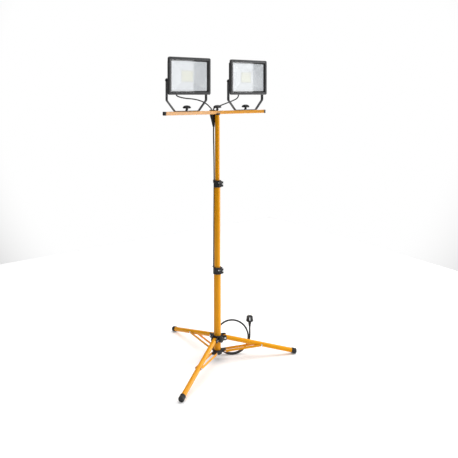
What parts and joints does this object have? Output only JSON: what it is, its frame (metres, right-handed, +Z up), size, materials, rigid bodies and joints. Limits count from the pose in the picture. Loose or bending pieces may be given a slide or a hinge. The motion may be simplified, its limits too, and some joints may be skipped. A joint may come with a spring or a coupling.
{
  "type": "tripod work light",
  "caption": "Twin-head LED work light: two tilting floodlights on a crossbar, a telescopic mast with flip-lever collars, a folding tripod and a mains cord with plug.",
  "frame": {"origin": "the point on the floor under the mast's axis, between the three feet", "axes": "+Z up along the mast, X along the crossbar, and the lamps face -Y"},
  "size_m": [0.8069, 0.7224, 1.7],
  "materials": {
    "yellow_tube": "semi-gloss amber yellow powder coat on steel tube",
    "black_plastic": "black moulded nylon, fine texture",
    "foot_rubber": "black rubber",
    "bolt_steel": "zinc plated",
    "cable_rubber": "black rubber cable sheath",
    "lamp_paint": "anthracite powder coat on bent steel strip",
    "lamp_casting": "anthracite textured powder coat on die-cast aluminium",
    "lamp_glass": "clear tempered glass",
    "reflector_white": "bright faceted reflector",
    "led_yellow": "pale yellow light emitting board"
  },
  "bodies": {
    "tripod_base": {"mast_lower_tube": "yellow_tube", "lower_collar": "black_plastic", "brace_hub": "black_plastic", "mast_cable_middle": "cable_rubber", "mast_cable_lower": "cable_rubber", "cord_drop": "cable_rubber", "cord_coil": "cable_rubber", "cord_plug_lead": "cable_rubber", "mains_plug": "cable_rubber"},
    "lower_lever": {"lower_collar_lever": "black_plastic"},
    "mast_middle": {"mast_middle_tube": "yellow_tube", "upper_collar": "black_plastic", "mast_cable_upper": "cable_rubber"},
    "upper_lever": {"upper_collar_lever": "black_plastic"},
    "mast_head": {"mast_upper_tube": "yellow_tube", "mast_top_plug": "black_plastic", "crossbar": "yellow_tube", "left_bar_cap": "black_plastic", "right_bar_cap": "black_plastic", "cable_junction": "black_plastic", "left_lamp_lead": "cable_rubber", "right_lamp_lead": "cable_rubber"},
    "centre_clamp_knob": {"centre_knob": "black_plastic"},
    "left_clamp_knob": {"left_yoke_knob": "black_plastic"},
    "right_clamp_knob": {"right_yoke_knob": "black_plastic"},
    "left_bracket": {"left_yoke": "lamp_paint", "left_pivot_left": "bolt_steel", "left_pivot_right": "bolt_steel"},
    "right_bracket": {"right_yoke": "lamp_paint", "right_pivot_left": "bolt_steel", "right_pivot_right": "bolt_steel"},
    "left_lamp": {"left_housing": "lamp_casting", "left_bezel": "lamp_casting", "left_glass": "lamp_glass", "left_reflector": "reflector_white", "left_led_board": "led_yellow", "left_gland": "black_plastic"},
    "right_lamp": {"right_housing": "lamp_casting", "right_bezel": "lamp_casting", "right_glass": "lamp_glass", "right_reflector": "reflector_white", "right_led_board": "led_yellow", "right_gland": "black_plastic"},
    "sliding_hub": {"leg_hub": "black_plastic", "right_leg_bolt": "bolt_steel", "rear_leg_bolt": "bolt_steel", "front_leg_bolt": "bolt_steel"},
    "hub_knob": {"hub_clamp_knob": "black_plastic"},
    "right_leg_arm": {"right_leg": "yellow_tube", "right_foot_cap": "foot_rubber"},
    "right_brace_arm": {"right_brace_left": "yellow_tube", "right_brace_right": "yellow_tube"},
    "rear_leg_arm": {"rear_leg": "yellow_tube", "rear_foot_cap": "foot_rubber"},
    "rear_brace_arm": {"rear_brace_left": "yellow_tube", "rear_brace_right": "yellow_tube"},
    "front_leg_arm": {"front_leg": "yellow_tube", "front_foot_cap": "foot_rubber"},
    "front_brace_arm": {"front_brace_left": "yellow_tube", "front_brace_right": "yellow_tube"}
  },
  "joints": [
    {"name": "mast_middle_slide", "type": "slide", "parent": "tripod_base", "child": "mast_middle", "axis": [0, 0, 1], "range_m": [-0.425, 0], "deforming": ["mast_cable_middle"]},
    {"name": "mast_upper_slide", "type": "slide", "parent": "mast_middle", "child": "mast_head", "axis": [0, 0, 1], "range_m": [-0.29, 0], "deforming": ["mast_cable_upper"]},
    {"name": "lower_lever_flip", "type": "hinge", "parent": "tripod_base", "child": "lower_lever", "pos_m": [0.0155, -0.0287, 0.5045], "axis": [0, 0, -1], "range_deg": [0, 110]},
    {"name": "upper_lever_flip", "type": "hinge", "parent": "mast_middle", "child": "upper_lever", "pos_m": [0.0155, -0.0257, 0.9945], "axis": [0, 0, -1], "range_deg": [0, 110]},
    {"name": "leg_hub_slide", "type": "slide", "parent": "tripod_base", "child": "sliding_hub", "axis": [0, 0, 1], "range_m": [0, 0.3436]},
    {"name": "hub_knob_turn", "type": "hinge", "parent": "sliding_hub", "child": "hub_knob", "pos_m": [0, -0.0333, 0.125], "axis": [0, -1, 0], "range_deg": [0, 360]},
    {"name": "right_leg_fold", "type": "hinge", "parent": "sliding_hub", "child": "right_leg_arm", "pos_m": [0.03831, -0.01952, 0.124], "axis": [0.454, 0.891, 0], "range_deg": [0, 63.21]},
    {"name": "right_brace_fold", "type": "hinge", "parent": "tripod_base", "child": "right_brace_arm", "pos_m": [0.03831, -0.01952, 0.05], "axis": [-0.454, -0.891, 0], "range_deg": [0, 72.64]},
    {"name": "rear_leg_fold", "type": "hinge", "parent": "sliding_hub", "child": "rear_leg_arm", "pos_m": [-0.00225, 0.04294, 0.124], "axis": [-0.9986, -0.0523, 0], "range_deg": [0, 63.21]},
    {"name": "rear_brace_fold", "type": "hinge", "parent": "tripod_base", "child": "rear_brace_arm", "pos_m": [-0.00225, 0.04294, 0.05], "axis": [0.9986, 0.0523, 0], "range_deg": [0, 72.64]},
    {"name": "front_leg_fold", "type": "hinge", "parent": "sliding_hub", "child": "front_leg_arm", "pos_m": [-0.03606, -0.02342, 0.124], "axis": [0.5446, -0.8387, 0], "range_deg": [0, 63.21]},
    {"name": "front_brace_fold", "type": "hinge", "parent": "tripod_base", "child": "front_brace_arm", "pos_m": [-0.03606, -0.02342, 0.05], "axis": [-0.5446, 0.8387, 0], "range_deg": [0, 72.64]},
    {"name": "centre_knob_turn", "type": "hinge", "parent": "mast_head", "child": "centre_clamp_knob", "pos_m": [0, 0, 1.43], "axis": [0, 0, 1], "range_deg": [0, 360]},
    {"name": "left_knob_turn", "type": "hinge", "parent": "mast_head", "child": "left_clamp_knob", "pos_m": [-0.2007, 0, 1.43], "axis": [0, 0, 1], "range_deg": [0, 360]},
    {"name": "left_lamp_swivel", "type": "hinge", "parent": "mast_head", "child": "left_bracket", "pos_m": [-0.2007, 0, 1.41], "axis": [0, 0, 1], "range_deg": [-90, 90], "deforming": ["left_lamp_lead"]},
    {"name": "left_lamp_tilt", "type": "hinge", "parent": "left_bracket", "child": "left_lamp", "pos_m": [-0.2007, 0, 1.576], "axis": [-1, 0, 0], "range_deg": [-6, 100]},
    {"name": "right_knob_turn", "type": "hinge", "parent": "mast_head", "child": "right_clamp_knob", "pos_m": [0.2007, 0, 1.43], "axis": [0, 0, 1], "range_deg": [0, 360]},
    {"name": "right_lamp_swivel", "type": "hinge", "parent": "mast_head", "child": "right_bracket", "pos_m": [0.2007, 0, 1.41], "axis": [0, 0, 1], "range_deg": [-90, 90], "deforming": ["right_lamp_lead"]},
    {"name": "right_lamp_tilt", "type": "hinge", "parent": "right_bracket", "child": "right_lamp", "pos_m": [0.2007, 0, 1.576], "axis": [-1, 0, 0], "range_deg": [-6, 100]}
  ],
  "couplings": [
    {"joint": "right_leg_fold", "follows": "leg_hub_slide", "rad_per_m": 3.2082},
    {"joint": "right_brace_fold", "follows": "leg_hub_slide", "rad_per_m": 3.6873},
    {"joint": "rear_leg_fold", "follows": "leg_hub_slide", "rad_per_m": 3.2082},
    {"joint": "rear_brace_fold", "follows": "leg_hub_slide", "rad_per_m": 3.6873},
    {"joint": "front_leg_fold", "follows": "leg_hub_slide", "rad_per_m": 3.2082},
    {"joint": "front_brace_fold", "follows": "leg_hub_slide", "rad_per_m": 3.6873}
  ]
}
